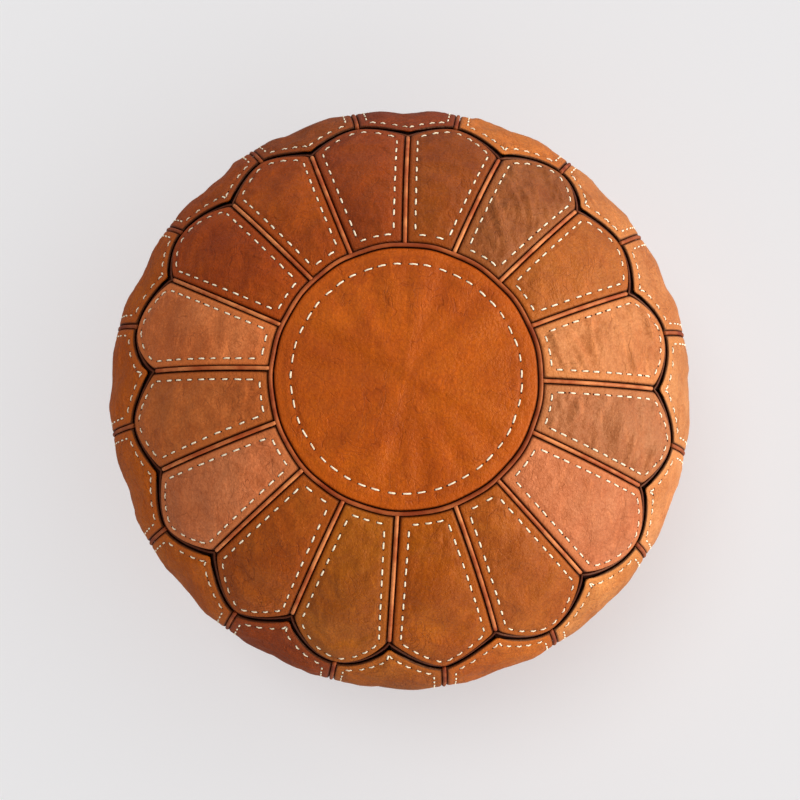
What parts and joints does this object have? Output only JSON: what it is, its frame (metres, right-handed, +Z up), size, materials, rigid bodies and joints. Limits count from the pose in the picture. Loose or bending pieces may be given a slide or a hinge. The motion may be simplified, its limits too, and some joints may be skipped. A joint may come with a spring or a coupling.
{
  "type": "leather pouf",
  "caption": "Round stuffed leather floor pouf: a central medallion ringed by petals, piped scalloped seams, upright side panels, and a zipped two-piece base",
  "frame": {"origin": "on the floor, under the middle of the pouf", "axes": "+Z up; +Y along the seam between petals 01 and 16, which is the back of the pouf; the zip lies along X, closed at its +X end"},
  "size_m": [0.5168, 0.5168, 0.3],
  "materials": {
    "medallion_leather": "smooth tanned leather, satin",
    "petal_leather": "creased tanned leather, satin",
    "side_leather": "creased tanned leather, satin",
    "piping_leather": "pale tanned leather over cord, satin",
    "zip_tape": "woven cotton tape",
    "brass": "aged brass, satin",
    "cotton": "plain unbleached cotton",
    "wadding": "cotton wadding"
  },
  "bodies": {
    "cover": {"medallion": "medallion_leather", "medallion_piping": "piping_leather", "petal_01": "petal_leather", "petal_02": "petal_leather", "petal_03": "petal_leather", "petal_04": "petal_leather", "petal_05": "petal_leather", "petal_06": "petal_leather", "petal_07": "petal_leather", "petal_08": "petal_leather", "petal_09": "petal_leather", "petal_10": "petal_leather", "petal_11": "petal_leather", "petal_12": "petal_leather", "petal_13": "petal_leather", "petal_14": "petal_leather", "petal_15": "petal_leather", "petal_16": "petal_leather", "petal_piping_01": "piping_leather", "petal_piping_02": "piping_leather", "petal_piping_03": "piping_leather", "petal_piping_04": "piping_leather", "petal_piping_05": "piping_leather", "petal_piping_06": "piping_leather", "petal_piping_07": "piping_leather", "petal_piping_08": "piping_leather", "petal_piping_09": "piping_leather", "petal_piping_10": "piping_leather", "petal_piping_11": "piping_leather", "petal_piping_12": "piping_leather", "petal_piping_13": "piping_leather", "petal_piping_14": "piping_leather", "petal_piping_15": "piping_leather", "petal_piping_16": "piping_leather", "side_panel_01": "side_leather", "side_panel_02": "side_leather", "side_panel_03": "side_leather", "side_panel_04": "side_leather", "side_panel_05": "side_leather", "side_panel_06": "side_leather", "side_panel_07": "side_leather", "side_panel_08": "side_leather", "side_panel_09": "side_leather", "side_panel_10": "side_leather", "side_panel_11": "side_leather", "side_panel_12": "side_leather", "side_panel_13": "side_leather", "side_panel_14": "side_leather", "side_panel_15": "side_leather", "side_panel_16": "side_leather", "scallop_piping": "piping_leather", "side_piping": "piping_leather", "base_half_front": "side_leather", "base_half_back": "side_leather", "zip_tape_front": "zip_tape", "zip_tape_back": "zip_tape", "inner_bag": "cotton", "stuffing": "wadding"},
    "zip_slider": {"zip_slider": "brass"},
    "zip_pull": {"zip_pull": "brass"}
  },
  "joints": [
    {"name": "zip_slide", "type": "slide", "parent": "cover", "child": "zip_slider", "axis": [-1, 0, 0], "range_m": [0, 0.196]},
    {"name": "pull_flip", "type": "hinge", "parent": "zip_slider", "child": "zip_pull", "pos_m": [0.098, 0, 0.00565], "axis": [0, -1, 0], "range_deg": [-4, 150]}
  ]
}
